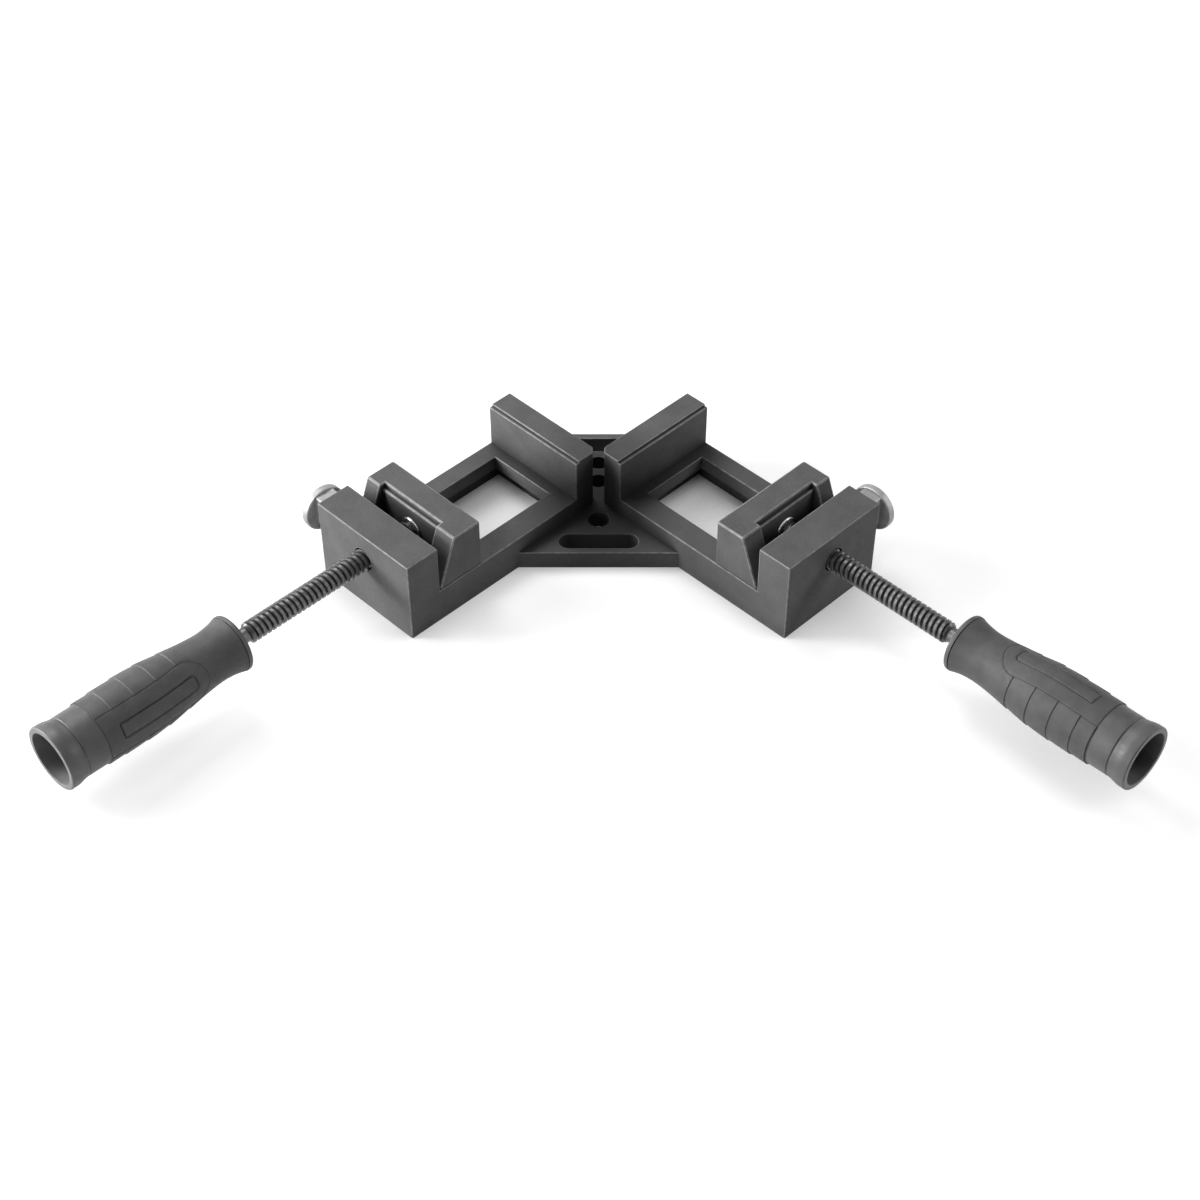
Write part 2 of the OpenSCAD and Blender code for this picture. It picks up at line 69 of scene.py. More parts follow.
def rounded(node, radius, above=0.0):
    """A copy of a plain solid whose outer edges above a height are rounded, in mm.
    The new faces carry a 1 in the edge attribute, which the powder coat paints paler: partly rub wear,
    partly a painted highlight."""
    solid = bmesh.new()
    solid.from_mesh(frame["nodes"][node].data)
    bmesh.ops.remove_doubles(solid, verts=solid.verts, dist=SOLID_WELD * MM)
    bmesh.ops.dissolve_limit(solid, angle_limit=FLAT, verts=solid.verts, edges=solid.edges)
    # Edge faces are marked to be painted paler: rub wear and a painted highlight
    pale_edge_layer = solid.faces.layers.float.new("worn_and_highlit_edge")
    outer = [e for e in solid.edges if e.is_manifold and e.is_convex and e.calc_face_angle() > SHARP
             and (e.verts[0].co.z + e.verts[1].co.z) / 2 > above * MM]
    made = bmesh.ops.bevel(solid, geom=outer, offset=radius * MM, offset_type="OFFSET", segments=EDGE_STEPS,
                           profile=0.5, affect="EDGES", clamp_overlap=False)
    for face in made["faces"]:
        face[pale_edge_layer] = 1.0
    return solid


def fitted(solid, name, body, finish, nodes, place=None):
    """Turns a worked mesh into a piece that rides on its body in place of the plain solids it stands for."""
    bmesh.ops.recalc_face_normals(solid, faces=solid.faces)
    for face in solid.faces:
        face.smooth = True
    for edge in solid.edges:
        edge.smooth = not edge.is_manifold or edge.calc_face_angle() < SHARP
    mesh = bpy.data.meshes.new(name)
    solid.to_mesh(mesh)
    solid.free()
    mesh.materials.append(finish)
    piece = bpy.data.objects.new(name, mesh)
    bpy.context.scene.collection.objects.link(piece)
    if place:
        piece.matrix_world = place
    flat = piece.modifiers.new("flat_faces_stay_flat", "WEIGHTED_NORMAL")
    flat.keep_sharp = True
    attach(piece, body)
    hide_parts(*nodes)
    return piece


def new_finish(name):
    """A material, its node tree and its surface shader."""
    finish = bpy.data.materials.new(name)
    finish.use_nodes = True
    return finish, finish.node_tree, finish.node_tree.nodes["Principled BSDF"]


def grain(tree, size, detail=3.0):
    """Noise that is fixed to the piece, with a grain size in mm."""
    place = tree.nodes.new("ShaderNodeTexCoord")
    noise = tree.nodes.new("ShaderNodeTexNoise")
    noise.inputs["Scale"].default_value = 1 / (size * MM)
    noise.inputs["Detail"].default_value = detail
    tree.links.new(place.outputs["Object"], noise.inputs["Vector"])
    return noise.outputs["Fac"]


def spread(tree, source, low, high, start=0.3, end=0.7):
    """Stretches part of a value, such as the middle of a noise, over a range of values."""
    range_node = tree.nodes.new("ShaderNodeMapRange")
    range_node.inputs["From Min"].default_value = start
    range_node.inputs["From Max"].default_value = end
    range_node.inputs["To Min"].default_value = low
    range_node.inputs["To Max"].default_value = high
    tree.links.new(source, range_node.inputs["Value"])
    return range_node.outputs["Result"]


def product(tree, a, b):
    """Two values multiplied; b may be a number."""
    times = tree.nodes.new("ShaderNodeMath")
    times.operation = "MULTIPLY"
    tree.links.new(a, times.inputs[0])
    if isinstance(b, float):
        times.inputs[1].default_value = b
    else:
        tree.links.new(b, times.inputs[1])
    return times.outputs["Value"]


def total(tree, a, b):
    """Two shares added, at most 1."""
    plus = tree.nodes.new("ShaderNodeMath")
    plus.operation = "ADD"
    plus.use_clamp = True
    tree.links.new(a, plus.inputs[0])
    tree.links.new(b, plus.inputs[1])
    return plus.outputs["Value"]


def attribute(tree, name):
    """A value stored on the piece's own mesh."""
    source = tree.nodes.new("ShaderNodeAttribute")
    source.attribute_name = name
    return source.outputs["Fac"]


def openness(tree, reach, own):
    """How open the space in front of a point is, from 0 to 1, within a reach in mm.
    With own, other pieces don't count."""
    space = tree.nodes.new("ShaderNodeAmbientOcclusion")
    space.only_local = own
    space.samples = 8
    space.inputs["Distance"].default_value = reach * MM
    return space.outputs["AO"]


def distance_from(tree, point):
    """Distance in metres from a point that is fixed to the piece."""
    place = tree.nodes.new("ShaderNodeTexCoord")
    gap = tree.nodes.new("ShaderNodeVectorMath")
    gap.operation = "DISTANCE"
    gap.inputs[1].default_value = point
    tree.links.new(place.outputs["Object"], gap.inputs[0])
    return gap.outputs["Value"]


def tinted(tree, shader, dark, pale, share):
    """Base colour between two colours by a share from 0 to 1."""
    mix = tree.nodes.new("ShaderNodeMix")
    mix.data_type = "RGBA"
    mix.inputs["A"].default_value = (*dark, 1)
    mix.inputs["B"].default_value = (*pale, 1)
    tree.links.new(share, mix.inputs["Factor"])
    tree.links.new(mix.outputs["Result"], shader.inputs["Base Color"])


def roughened(tree, shader, size, low, high):
    """Roughness that wanders over a range, with a grain size in mm."""
    tree.links.new(spread(tree, grain(tree, size), low, high), shader.inputs["Roughness"])


def embossed(tree, shader, size, depth):
    """Fine relief on the surface, with a grain size and a depth in mm."""
    bump = tree.nodes.new("ShaderNodeBump")
    bump.inputs["Distance"].default_value = depth * MM
    tree.links.new(grain(tree, size, detail=2.0), bump.inputs["Height"])
    tree.links.new(bump.outputs["Normal"], shader.inputs["Normal"])


def grey(shade, warmth=0.0):
    """A neutral colour, or a slightly warm one; below 0 it is cold."""
    return (shade * (1 + warmth), shade, shade * (1 - warmth))


def powder_coat(name, shade):
    """Satin black coat: fine orange peel, faint clouding, and edges painted paler, partly as rub wear and
    partly as a painted highlight.
    It carries painted shade too: it is darker in its hollows, by how open the space in front is, and round
    the clamp's inner corner."""
    finish, tree, shader = new_finish(name)
    shader.inputs["Specular IOR Level"].default_value = 0.2
    clouds = spread(tree, grain(tree, size=14.0, detail=5.0), low=0.24, high=0.32)
    specks = spread(tree, grain(tree, size=0.9, detail=2.0), low=0.0, high=0.06)
    # Painted highlight, with some rub wear: the rounded edges are painted paler in patches
    pale_edge_patches = spread(tree, grain(tree, size=3.0), low=0.25, high=0.7)
    wear_and_highlight = product(tree, attribute(tree, "worn_and_highlit_edge"), pale_edge_patches)
    # Painted shade: hollows and pockets are darkened by how open the space in front of each point is
    hollow_shade = spread(tree, openness(tree, HOLLOW_SHADE_REACH, own=True), HOLLOW_SHADE_LEVEL, 1.0, start=0.4, end=0.9)
    # Painted shade: the coat darkens within about 5 cm of the clamp's inner corner
    corner_shade = spread(tree, distance_from(tree, CORNER), CORNER_SHADE_LEVEL, 1.0, start=CORNER_SHADE_NEAR, end=CORNER_SHADE_FAR)
    share = product(tree, total(tree, total(tree, clouds, specks), wear_and_highlight), product(tree, hollow_shade, corner_shade))
    tinted(tree, shader, grey(shade * COAT_DARKEST), grey(shade * COAT_PALEST), share)
    roughened(tree, shader, size=1.2, low=0.52, high=0.68)
    embossed(tree, shader, size=0.8, depth=0.05)
    return finish


body_coat = powder_coat("body_coat", COAT)
fitted(rounded("body_casting", BODY_EDGE), "coated_body", "base", body_coat, ["body_casting"])

# Release buttons and their springs
# Each button is a bare zinc casting: a round head on a slide through the end block, with the half nut.
# A plated wire spring in the block pushes the slide out until the half nut meets the thread.
BUTTON_EDGE = 0.7
COIL_WELD = 0.002


def bare_zinc(name):
    """Satin grey of a tumbled zinc casting, with a fine cast grain."""
    finish, tree, shader = new_finish(name)
    shader.inputs["Metallic"].default_value = 0.75
    clouds = spread(tree, grain(tree, size=5.0, detail=5.0), low=0.0, high=1.0)
    tinted(tree, shader, grey(0.32), grey(0.44), clouds)
    roughened(tree, shader, size=1.5, low=0.52, high=0.66)
    embossed(tree, shader, size=0.5, depth=0.03)
    return finish


def zinc_plate(name):
    """Bright plated steel with faint drawing marks."""
    finish, tree, shader = new_finish(name)
    shader.inputs["Metallic"].default_value = 1.0
    clouds = spread(tree, grain(tree, size=2.0, detail=4.0), low=0.0, high=1.0)
    tinted(tree, shader, grey(0.6, warmth=-0.02), grey(0.76, warmth=-0.01), clouds)
    roughened(tree, shader, size=0.8, low=0.2, high=0.34)
    embossed(tree, shader, size=0.35, depth=0.008)
    return finish


zinc = bare_zinc("tumbled_zinc")
plated = zinc_plate("plated_steel")
for side in SIDES:
    fitted(rounded("release_button_" + side, BUTTON_EDGE), "cast_button_" + side, "button_" + side,
           zinc, ["release_button_" + side])
    coil = bmesh.new()
    coil.from_mesh(frame["nodes"]["release_spring_" + side].data)
    bmesh.ops.remove_doubles(coil, verts=coil.verts, dist=COIL_WELD * MM)
    spring = fitted(coil, "wound_spring_" + side, "base", plated, ["release_spring_" + side])
    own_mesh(spring)

# Moving jaws
# Each jaw is a coated casting with sloped buttresses, a pocket for the screw's end and a tongue in the slot.
# A plated keeper plate with two screws holds the tongue down, and a pin in the wall traps the screw's nose.
JAW_EDGE = 0.9
JAW_FOOT_Z = 20.2
JAW_PALER = 1.02
KEEPER_EDGE = 0.4
PIN_EDGE = 0.3
JAW_FIXINGS = (("keeper_plate_", KEEPER_EDGE), ("keeper_screws_", KEEPER_EDGE), ("nose_pin_", PIN_EDGE))
jaw_coat = powder_coat("jaw_coat", COAT * JAW_PALER)
for side in SIDES:
    body = "jaw_" + side
    fitted(rounded("moving_jaw_" + side, JAW_EDGE, JAW_FOOT_Z), "coated_jaw_" + side, body,
           jaw_coat, ["moving_jaw_" + side])
    for node, edge in JAW_FIXINGS:
        fitted(rounded(node + side, edge), "plated_" + node + side, body, plated,
               [node + side])

# Clamping screws and their clips
# Each screw is blackened steel with a rolled right-hand trapezoidal thread, 11 mm across with a 3 mm pitch.
# Its nose turns in the jaw's wall, a plated open clip takes the thrust, and its tang holds the handle.
THREAD_R, ROOT_R, NECK_R, NOSE_R, TANG_R = 5.5, 3.9, 3.8, 4.0, 4.4
PITCH, CHAMFER_STEP = 3.0, 0.2
NOSE_X, THREAD_X, NECK_X, HANDLE_X, TANG_X = -11.0, 1.85, 103.5, 110.0, 148.0
NOSE_LAP, NECK_LAP, TANG_SINK = 0.5, 2.0, 1.0
CLIP_R, CLIP_BORE_R, CLIP_BACK, CLIP_T, CLIP_CROWN, CLIP_ROUND = 6.8, 4.05, 0.05, 1.75, 1.9, 0.3
CLIP_MOUTH = math.radians(28)
THREAD_STEPS, ROUND_STEPS, CLIP_STEPS = 40, 96, 72
TURNED_WELD = 0.001
# One pitch of the thread: share of the pitch, and share of the thread's depth
THREAD_FORM = ((0.0, 0.0), (0.2, 0.0), (0.33, 0.82), (0.39, 1.0), (0.83, 1.0), (0.89, 0.82))


def screw_line(side):
    """Frame of a screw: x along it away from the jaw, z up, origin on the jaw's wall."""
    joint = next(j for j in frame["joints"] if j["name"] == "screw_turn_" + side)
    out = Vector(joint["axis"])
    up = Vector((0, 0, 1))
    turned_frame = Matrix((out, up.cross(out), up)).transposed().to_4x4()
    turned_frame.translation = Vector(joint["pos_m"])
    return turned_frame


def around(x, radius, angle):
    """A point in metres at a distance along the screw, a radius and an angle from straight up."""
    return Vector((x, radius * math.sin(angle), radius * math.cos(angle))) * MM


def skin(solid, rings):
    """Adds faces to a mesh between each ring of points and the next."""
    count = len(rings[0])
    for near, far in zip(rings, rings[1:]):
        for k in range(count):
            m = (k + 1) % count
            solid.faces.new((near[k], near[m], far[m], far[k]))


def turn(solid, outline):
    """Adds a turned shape to a mesh: (distance, radius) points from axis to axis."""
    angles = [2 * math.pi * k / ROUND_STEPS for k in range(ROUND_STEPS)]
    skin(solid, [[solid.verts.new(around(x, r, angle)) for angle in angles] for x, r in outline])


def bend(x, r, along, outwards, start, end, steps=8):
    """Points of an ellipse between two angles in degrees, 0 being straight outwards."""
    angles = [math.radians(start + (end - start) * k / steps) for k in range(steps + 1)]
    return [(x + along * math.sin(a), r + outwards * math.cos(a)) for a in angles]


def bend_ring(solid, outline, mouth):
    """Adds an open ring to a mesh: a closed (distance, radius) outline swept round, open at the bottom."""
    angles = [(mouth - math.pi) + 2 * (math.pi - mouth) * k / CLIP_STEPS for k in range(CLIP_STEPS + 1)]
    rings = [[solid.verts.new(around(x, r, angle)) for x, r in outline] for angle in angles]
    skin(solid, rings)
    solid.faces.new(rings[0])
    solid.faces.new(rings[-1])


def cut_thread(solid, start, end):
    """Adds a threaded rod to a mesh, with its rows of points along the helix and its ends chamfered."""
    turns = math.ceil((end - start) / PITCH) + 1
    rows = [((t - 1 + share) * PITCH + start, depth)
            for t in range(turns + 1) for share, depth in THREAD_FORM]
    grid = []
    for row_x, depth in rows:
        ring = []
        for k in range(THREAD_STEPS):
            x = min(max(row_x + PITCH * k / THREAD_STEPS, start), end)
            chamfer = min(x - start, end - x) + CHAMFER_STEP
            rise = min((THREAD_R - ROOT_R) * depth, chamfer) if start < x < end else 0
            ring.append(solid.verts.new(around(x, ROOT_R + rise, -2 * math.pi * k / THREAD_STEPS)))
        grid.append(ring)
    last = len(grid) - 1
    form = len(THREAD_FORM)
    for i in range(last):
        for k in range(THREAD_STEPS):
            across = (i, k + 1) if k + 1 < THREAD_STEPS else (min(i + form, last), 0)
            corner = (i + 1, k + 1) if k + 1 < THREAD_STEPS else (min(i + 1 + form, last), 0)
            loop = [grid[i][k], grid[across[0]][across[1]], grid[corner[0]][corner[1]], grid[i + 1][k]]
            if len(set(loop)) == 4:
                solid.faces.new(loop)


def black_oxide(name):
    """Oiled black steel: dark, half bright on the crests, with fine rolling marks."""
    finish, tree, shader = new_finish(name)
    shader.inputs["Metallic"].default_value = 0.8
    clouds = spread(tree, grain(tree, size=2.5, detail=5.0), low=0.0, high=1.0)
    tinted(tree, shader, grey(0.09), grey(0.19), clouds)
    roughened(tree, shader, size=0.9, low=0.3, high=0.46)
    embossed(tree, shader, size=0.4, depth=0.015)
    return finish


CLIP_OUTLINE = bend(CLIP_BACK + CLIP_ROUND, CLIP_R - CLIP_CROWN, CLIP_T - CLIP_BACK - CLIP_ROUND, CLIP_CROWN,
                    start=0, end=90, steps=10)
CLIP_OUTLINE += bend(CLIP_T - CLIP_ROUND, CLIP_BORE_R + CLIP_ROUND, CLIP_ROUND, -CLIP_ROUND,
                     start=90, end=0, steps=3)
CLIP_OUTLINE += [(CLIP_BACK, CLIP_BORE_R), (CLIP_BACK, CLIP_R - CLIP_ROUND)]
NOSE_END, TANG_START = THREAD_X + NOSE_LAP, HANDLE_X + TANG_SINK
blackened = black_oxide("blackened_steel")
for side in SIDES:
    body = "screw_" + side
    screw = bmesh.new()
    cut_thread(screw, THREAD_X, NECK_X)
    turn(screw, [(NOSE_X, 0), (NOSE_X, NOSE_R), (NOSE_END, NOSE_R), (NOSE_END, 0)])
    turn(screw, [(NECK_X - NECK_LAP, 0), (NECK_X - NECK_LAP, NECK_R), (TANG_START, NECK_R),
                 (TANG_START, TANG_R), (TANG_X, TANG_R), (TANG_X, 0)])
    bmesh.ops.remove_doubles(screw, verts=screw.verts, dist=TURNED_WELD * MM)
    fitted(screw, "rolled_screw_" + side, body, blackened, ["screw_" + side],
           screw_line(side))
    clip = bmesh.new()
    bend_ring(clip, CLIP_OUTLINE, CLIP_MOUTH)
    fitted(clip, "plated_clip_" + side, body, plated, ["screw_clip_" + side],
           screw_line(side))

# Handle cores
# Each core is a hard plastic moulding: a bead in front, a tube under the sleeve, a grooved tail that flares
# to the end rim, and a hollow end. It is moulded straight onto the screw's tang, and its matt skin is a
# little shinier than the sleeve's.
HANDLE_L = 103.5
BEAD_X0, BEAD_R, BEAD_L, BEAD_ROUND, BEAD_REAR_ROUND, BEAD_STEP = 0.4, 14.6, 2.8, 1.0, 0.2, 1.5
SLEEVE_FRONT_R, WAIST_R, BELLY_R, SLEEVE_END_R = 14.35, 12.7, 16.2, 15.8
SLEEVE_X0, WAIST_X, BELLY_X0, BELLY_X1, SLEEVE_X1 = 3.2, 14.5, 57.0, 66.0, 81.7
SLEEVE_T = 2.4
TAIL_R, TAIL_LIP_W, TAIL_LIP_D = 15.4, 0.5, 0.3
RING_X, RING_W, RING_D, RING_WALL, RING_LIP_W, RING_LIP_D = 93.0, 0.8, 0.45, 0.2, 0.3, 0.15
FLARE_GAP, FLARE_L = 1.0, 6.0
# The last value is the band at the end rim that is painted paler, as rub wear and a painted highlight, in mm
RIM_R, RIM_ROUND, RIM_PALE_BAND = 16.4, 0.8, 0.3
MOUTH_R, MOUTH_ROUND = 13.5, 0.3
HOLLOW_NECK_R, HOLLOW_R, HOLLOW_L = 12.0, 11.5, 52.0
TUBE_ROWS, FLARE_ROWS = range(5, 80, 4), range(95, 102)


def eased(share):
    """Soft step from 0 to 1."""
    share = min(max(share, 0.0), 1.0)
    return share * share * (3 - 2 * share)


def handle_radius(x):
    """Radius of the sleeve's smooth outside at a distance from the handle's front."""
    if x < WAIST_X:
        return WAIST_R + (SLEEVE_FRONT_R - WAIST_R) * ((WAIST_X - x) / (WAIST_X - SLEEVE_X0)) ** 2
    if x < BELLY_X0:
        swell = (1 - math.cos(math.pi * (x - WAIST_X) / (BELLY_X0 - WAIST_X))) / 2
        return WAIST_R + (BELLY_R - WAIST_R) * swell
    return BELLY_R + (SLEEVE_END_R - BELLY_R) * max(0.0, x - BELLY_X1) / (SLEEVE_X1 - BELLY_X1)


def hard_plastic(name):
    """Dark grey moulded plastic with a fine spark-eroded skin, painted paler on the end rim: partly rub
    wear, partly a painted highlight.
    """
    finish, tree, shader = new_finish(name)
    # Painted highlight, with some rub wear: the end rim is painted paler
    wear_and_highlight = product(tree, attribute(tree, "end_rim"), 0.5)
    clouds = spread(tree, grain(tree, size=9.0, detail=5.0), low=0.0, high=0.38)
    tinted(tree, shader, grey(0.08), grey(0.19), total(tree, clouds, wear_and_highlight))
    roughened(tree, shader, size=1.0, low=0.4, high=0.54)
    embossed(tree, shader, size=0.5, depth=0.025)
    return finish


core_outline = [(BEAD_X0, 0.0)]
core_outline += bend(BEAD_X0 + BEAD_ROUND, BEAD_R - BEAD_ROUND, BEAD_ROUND, BEAD_ROUND, start=-90, end=0)
core_outline += bend(BEAD_L - BEAD_REAR_ROUND, BEAD_R - BEAD_REAR_ROUND, BEAD_REAR_ROUND, BEAD_REAR_ROUND,
                     start=0, end=90, steps=3)
core_outline += [(BEAD_L, BEAD_R - BEAD_STEP), (SLEEVE_X0, handle_radius(SLEEVE_X0) - SLEEVE_T)]
core_outline += [(x, handle_radius(x) - SLEEVE_T) for x in TUBE_ROWS]
core_outline += [(SLEEVE_X1 - TAIL_LIP_W, SLEEVE_END_R - SLEEVE_T)]
core_outline += [(SLEEVE_X1 - TAIL_LIP_W, TAIL_R - TAIL_LIP_D), (SLEEVE_X1, TAIL_R)]
core_outline += [(RING_X - RING_LIP_W, TAIL_R), (RING_X, TAIL_R - RING_LIP_D)]
core_outline += [(RING_X + RING_WALL, TAIL_R - RING_D), (RING_X + RING_W - RING_WALL, TAIL_R - RING_D)]
core_outline += [(RING_X + RING_W, TAIL_R - RING_LIP_D), (RING_X + RING_W + RING_LIP_W, TAIL_R)]
core_outline += [(x, TAIL_R + (RIM_R - TAIL_R) * eased((x - RING_X - FLARE_GAP) / FLARE_L))
                 for x in FLARE_ROWS]
core_outline += bend(HANDLE_L - RIM_ROUND, RIM_R - RIM_ROUND, RIM_ROUND, RIM_ROUND, start=0, end=90)
core_outline += bend(HANDLE_L - MOUTH_ROUND, MOUTH_R + MOUTH_ROUND, MOUTH_ROUND, -MOUTH_ROUND,
                     start=90, end=0, steps=4)
core_outline += [(SLEEVE_X1, HOLLOW_NECK_R), (HANDLE_L - HOLLOW_L, HOLLOW_R), (HANDLE_L - HOLLOW_L, 0.0)]
core_plastic = hard_plastic("core_plastic")
for side in SIDES:
    core = bmesh.new()
    turn(core, [(HANDLE_X + x, r) for x, r in core_outline])
    bmesh.ops.remove_doubles(core, verts=core.verts, dist=TURNED_WELD * MM)
    end_rim = core.verts.layers.float.new("end_rim")
    for point in core.verts:
        point[end_rim] = 1.0 if point.co.x > (HANDLE_X + HANDLE_L - RIM_PALE_BAND) * MM else 0.0
    fitted(core, "moulded_core_" + side, "screw_" + side, core_plastic,
           ["handle_core_" + side], screw_line(side))

# Grip sleeves
# Each sleeve is soft rubber moulded over the core. Shallow shingled ribs run round it and stop at a smooth
# panel with a round front, and a blank label field lies in the panel behind a fine groove.
PANEL_X0, PANEL_HALF = 24.5, 10.5
PANEL_TURN = {"right": math.radians(4), "left": math.radians(67)}
RIB_X0, RIB_SPACING, RIB_COUNT = 36.0, 12.3, 4
RIB_LINES = [RIB_X0 + RIB_SPACING * k for k in range(RIB_COUNT)]
RIB_START, RIB_RISE, RIB_DROP = 16.5, 0.4, 0.3
LABEL_X0, LABEL_X1, LABEL_HALF, LABEL_FRONT_CORNER, LABEL_REAR_CORNER = 31.0, 73.5, 3.75, 2.2, 0.5
LABEL_GROOVE_W, LABEL_GROOVE_D, LABEL_SINK = 0.6, 0.7, 0.1
BORDER_W, BORDER_GROOVE_W, BORDER_GROOVE_D = 0.22, 0.36, 0.3
ROW_STEP, PANEL_ROW_STEP, LABEL_ROW_STEP, COLUMN_STEP, CLOSEST = 1.0, 0.3, 0.2, 0.45, 0.08
RIB_NUDGES = (-0.5, 0.0, RIB_DROP, RIB_DROP + 0.3)
PANEL_LEAD, BORDER_LEAD = 1.0, 0.5
BACK_STEPS, INSIDE_STRIDE, INSIDE_GAP = 44, 6, 0.05


def rib_height(x):
    """How far the ribs stand above the panel: each one rises to the rear and drops at its line."""
    ends = [RIB_START, *RIB_LINES, RIB_LINES[-1] + RIB_SPACING]
    for near, far in zip(ends, ends[1:]):
        if x <= far:
            fall = 1 - (x - near) / RIB_DROP if near > RIB_START and x - near < RIB_DROP else 0
            return RIB_RISE * max(0.0, (x - near) / (far - near), fall)
    return 0.0


def past_panel(x, y):
    """Distance outside the panel's border, in its own plane; negative inside."""
    front = PANEL_X0 + PANEL_HALF
    return (math.hypot(x - front, y) if x < front else abs(y)) - PANEL_HALF


def past_label(x, y):
    """Distance outside the label field's edge; negative inside."""
    middle = (LABEL_X0 + LABEL_X1) / 2
    corner = LABEL_FRONT_CORNER if x < middle else LABEL_REAR_CORNER
    dx = abs(x - middle) - (LABEL_X1 - LABEL_X0) / 2 + corner
    dy = abs(y) - LABEL_HALF + corner
    return math.hypot(max(dx, 0), max(dy, 0)) + min(max(dx, dy), 0) - corner


def sleeve_surface(x, angle):
    """Radius of the finished sleeve, and whether the point lies in the label field."""
    r = handle_radius(x)
    y = r * math.sin(angle)
    facing = math.cos(angle) > 0
    to_border = past_panel(x, y) if facing else PANEL_HALF
    to_label = past_label(x, y) if facing else PANEL_HALF
    outside = eased(0.5 + to_border / (2 * BORDER_W))
    groove = LABEL_GROOVE_D * max(0.0, 1 - abs(to_label) / LABEL_GROOVE_W)
    groove += BORDER_GROOVE_D * max(0.0, 1 - abs(to_border) / BORDER_GROOVE_W)
    sink = LABEL_SINK * eased(0.5 - to_label / LABEL_GROOVE_W)
    return r + rib_height(x) * outside - groove - sink, 1.0 if to_label < 0 else 0.0


def stepped(start, end, step):
    """Evenly spaced values from start to end, both included."""
    count = max(1, round((end - start) / step))
    return [start + (end - start) * k / count for k in range(count + 1)]


def thinned(values):
    """Values in order, without those that all but repeat the one before."""
    values = sorted(values)
    return [value for value, before in zip(values, [-1.0] + values) if value - before > CLOSEST]


def grip_rubber(name):
    """Matt dark rubber with a dusty bloom, and a paler blank label field."""
    finish, tree, shader = new_finish(name)
    shader.inputs["Specular IOR Level"].default_value = 0.4
    bloom = spread(tree, grain(tree, size=7.0, detail=6.0), low=0.1, high=0.7)
    field = product(tree, attribute(tree, "label_field"), 0.2)
    tinted(tree, shader, grey(0.07), grey(0.12), total(tree, bloom, field))
    roughened(tree, shader, size=1.5, low=0.52, high=0.68)
    embossed(tree, shader, size=0.45, depth=0.03)
    return finish


# Rows are closest at the panel's round front, the rib lines and the label's ends
sleeve_rows = stepped(SLEEVE_X0, PANEL_X0 - PANEL_LEAD, ROW_STEP)
sleeve_rows += stepped(PANEL_X0 - PANEL_LEAD, RIB_X0, PANEL_ROW_STEP) + stepped(RIB_X0, SLEEVE_X1, ROW_STEP)
sleeve_rows += [line + nudge for line in RIB_LINES for nudge in RIB_NUDGES]
sleeve_rows += [end + k * LABEL_ROW_STEP for end in (LABEL_X0, LABEL_X1) for k in range(-7, 8)]
sleeve_rows = thinned(sleeve_rows)
# Columns follow the panel's border and the label's long edges
panel_columns = stepped(0.0, PANEL_HALF - BORDER_LEAD, COLUMN_STEP)
panel_columns += [PANEL_HALF + BORDER_GROOVE_W * k / 3 for k in range(-4, 5)]
panel_columns += [LABEL_HALF + LABEL_GROOVE_W * k / 2 for k in range(-3, 4)]
panel_columns = thinned(panel_columns)
rubber = grip_rubber("grip_rubber")
for side in SIDES:
    sleeve = bmesh.new()
    field = sleeve.verts.layers.float.new("label_field")
    grid = []
    for x in sleeve_rows:
        r = handle_radius(x)
        half = [math.asin(min(y / r, 1.0)) for y in panel_columns]
        half += [half[-1] + (math.pi - half[-1]) * (k + 1) / BACK_STEPS for k in range(BACK_STEPS)]
        ring = []
        for angle in half + [-a for a in half[-2:0:-1]]:
            radius, inside = sleeve_surface(x, angle)
            point = sleeve.verts.new(around(HANDLE_X + x, radius, angle + PANEL_TURN[side]))
            point[field] = inside
            ring.append(point)
        grid.append(ring)
    count = len(grid[0])
    angles = [2 * math.pi * k / count + PANEL_TURN[side] for k in range(count)]
    for x in sleeve_rows[::-INSIDE_STRIDE] + [SLEEVE_X0]:
        bore = handle_radius(x) - SLEEVE_T + INSIDE_GAP
        grid.append([sleeve.verts.new(around(HANDLE_X + x, bore, angle)) for angle in angles])
    skin(sleeve, grid + grid[:1])
    bmesh.ops.remove_doubles(sleeve, verts=sleeve.verts, dist=TURNED_WELD * MM)
    fitted(sleeve, "moulded_sleeve_" + side, "screw_" + side, rubber, ["grip_sleeve_" + side],
           screw_line(side))

# Studio
# A white paper sweep under the clamp, three soft lamps at its left, weak fills at its right and front, and
# the camera. Paper and sky glow for the camera and in reflections only, and add no soft light of their own.
# The paper's glow carries a painted contact shadow under and round the clamp.
FLOOR_HALF = 3.0
PAPER = 0.55
# The last value is how far the painted contact shadow reaches, in mm
PAPER_GLOW, PAPER_MIRRORED, PAPER_SHADOW_REACH = 0.7, 0.75, 60.0
PAPER_NEAR, PAPER_FAR = 0.5, 1.2
SHADOW_START, SHADOW_END = 0.1, 0.75
SKY_SEEN, SKY_MIRRORED = 1.0, 0.7
# Name, place and size in metres, power in watts
LAMPS = (("left_softbox", (-1.1, 0.08, 0.8), 0.5, 8.4),
         ("back_left_softbox", (-0.4, 0.6, 1.2), 0.6, 7.2),
         ("low_left_softbox", (-1.4, 0.0, 0.36), 0.5, 21.0),
         ("right_fill", (1.25, 0.0, 0.6), 0.6, 5.1),
         ("front_left_fill", (-0.9, -1.2, 0.5), 0.6, 4.0))
AIM = Vector((0.0, -0.06, 0.02))
CAMERA_AT, CAMERA_TILT = (0.00075, -0.84569, 0.78473), 45.46
LENS, SENSOR, FARTHEST = 67.95, 36.0, 50.0


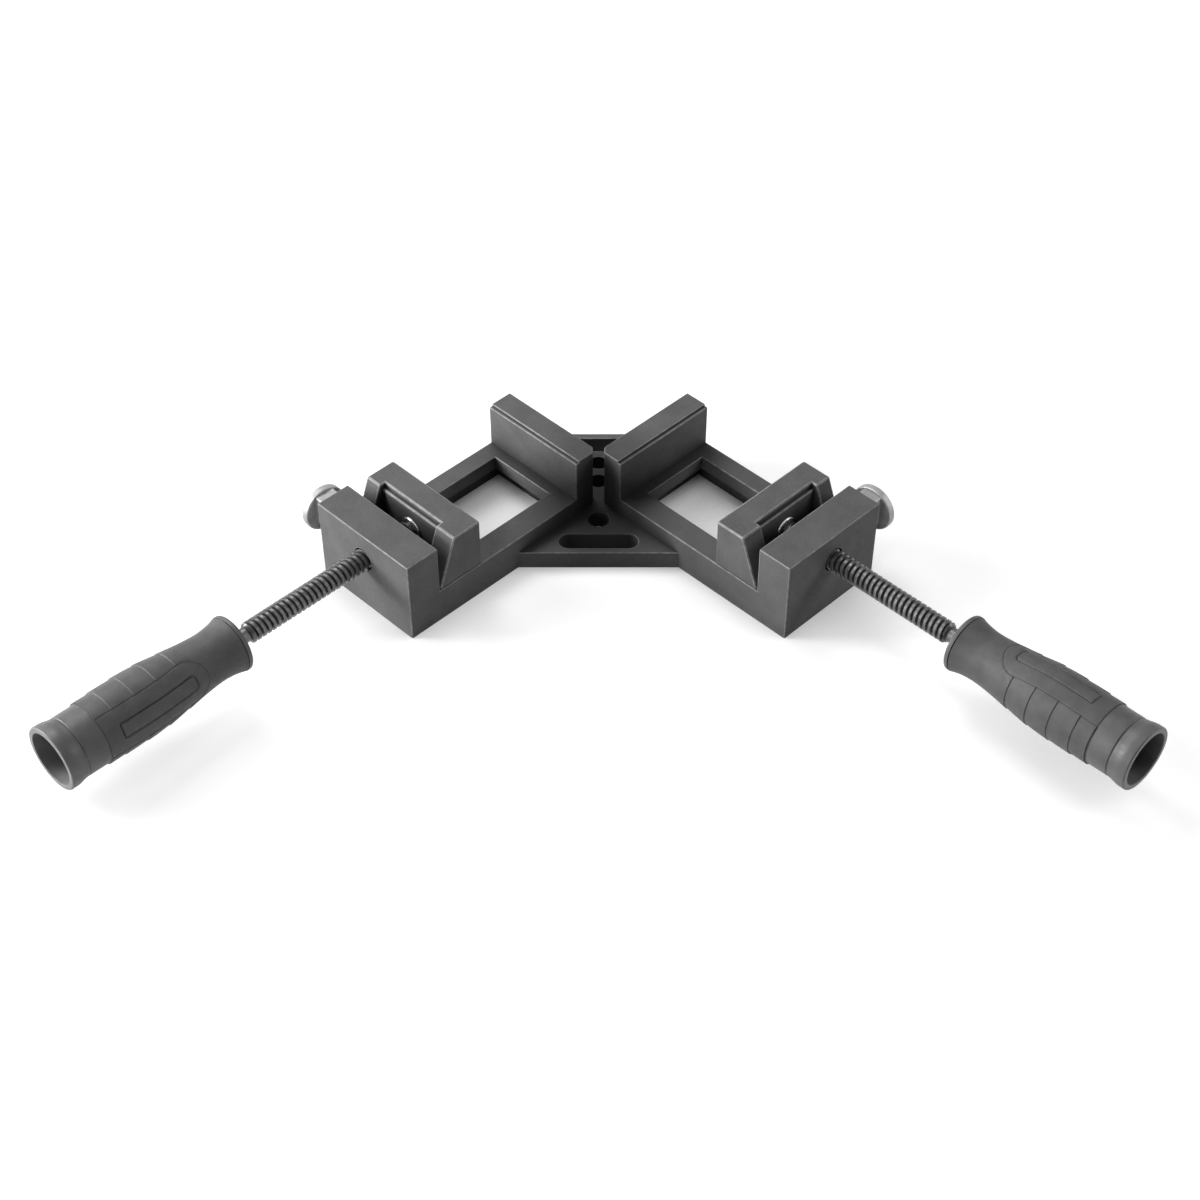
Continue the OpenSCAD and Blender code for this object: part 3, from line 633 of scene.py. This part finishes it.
def white_level(tree, seen, mirrored):
    """How white a backdrop is: one level to the camera, another in reflections, none as a light."""
    path = tree.nodes.new("ShaderNodeLightPath")
    direct = product(tree, path.outputs["Is Camera Ray"], seen)
    return total(tree, direct, product(tree, path.outputs["Is Glossy Ray"], mirrored))


paper = bpy.data.materials.new("paper_sweep")
paper.use_nodes = True
paper_tree = paper.node_tree
paper_tree.nodes.clear()
sheet = paper_tree.nodes.new("ShaderNodeBsdfDiffuse")
sheet.inputs["Color"].default_value = (PAPER, PAPER, PAPER, 1)
glow = paper_tree.nodes.new("ShaderNodeEmission")
# Painted contact shadow: the paper's glow is dimmed where the clamp closes in the space above it
painted_floor_shadow = spread(paper_tree, openness(paper_tree, PAPER_SHADOW_REACH, own=False), 0.0, 1.0, SHADOW_START, SHADOW_END)
seen = spread(paper_tree, distance_from(paper_tree, (0, 0, 0)), PAPER_GLOW, 1.0, PAPER_NEAR, PAPER_FAR)
level = product(paper_tree, white_level(paper_tree, seen, PAPER_MIRRORED), painted_floor_shadow)
paper_tree.links.new(level, glow.inputs["Strength"])
both = paper_tree.nodes.new("ShaderNodeAddShader")
paper_tree.links.new(sheet.outputs["BSDF"], both.inputs[0])
paper_tree.links.new(glow.outputs["Emission"], both.inputs[1])
paper_out = paper_tree.nodes.new("ShaderNodeOutputMaterial")
paper_tree.links.new(both.outputs["Shader"], paper_out.inputs["Surface"])
floor_mesh = bpy.data.meshes.new("floor")
floor_corners = [(x * FLOOR_HALF, y * FLOOR_HALF, 0) for x, y in ((-1, -1), (1, -1), (1, 1), (-1, 1))]
floor_mesh.from_pydata(floor_corners, [], [(0, 1, 2, 3)])
floor_mesh.materials.append(paper)
floor = bpy.data.objects.new("floor", floor_mesh)
bpy.context.scene.collection.objects.link(floor)

world = bpy.data.worlds.new("studio")
world.use_nodes = True
sky = world.node_tree.nodes["Background"]
sky.inputs["Color"].default_value = (1, 1, 1, 1)
world.node_tree.links.new(white_level(world.node_tree, SKY_SEEN, SKY_MIRRORED), sky.inputs["Strength"])
bpy.context.scene.world = world

for name, place, size, power in LAMPS:
    light = bpy.data.lights.new(name, "AREA")
    light.shape = "DISK"
    light.size = size
    light.energy = power
    lamp = bpy.data.objects.new(name, light)
    lamp.location = place
    lamp.rotation_euler = (AIM - Vector(place)).to_track_quat("-Z", "Y").to_euler()
    bpy.context.scene.collection.objects.link(lamp)

camera = bpy.data.objects.new("camera", bpy.data.cameras.new("camera"))
camera.data.lens = LENS
camera.data.sensor_width = SENSOR
camera.data.clip_end = FARTHEST
camera.location = CAMERA_AT
camera.rotation_euler = (math.radians(CAMERA_TILT), 0, 0)
bpy.context.scene.collection.objects.link(camera)
bpy.context.scene.camera = camera
bpy.context.scene.view_settings.view_transform = "Standard"
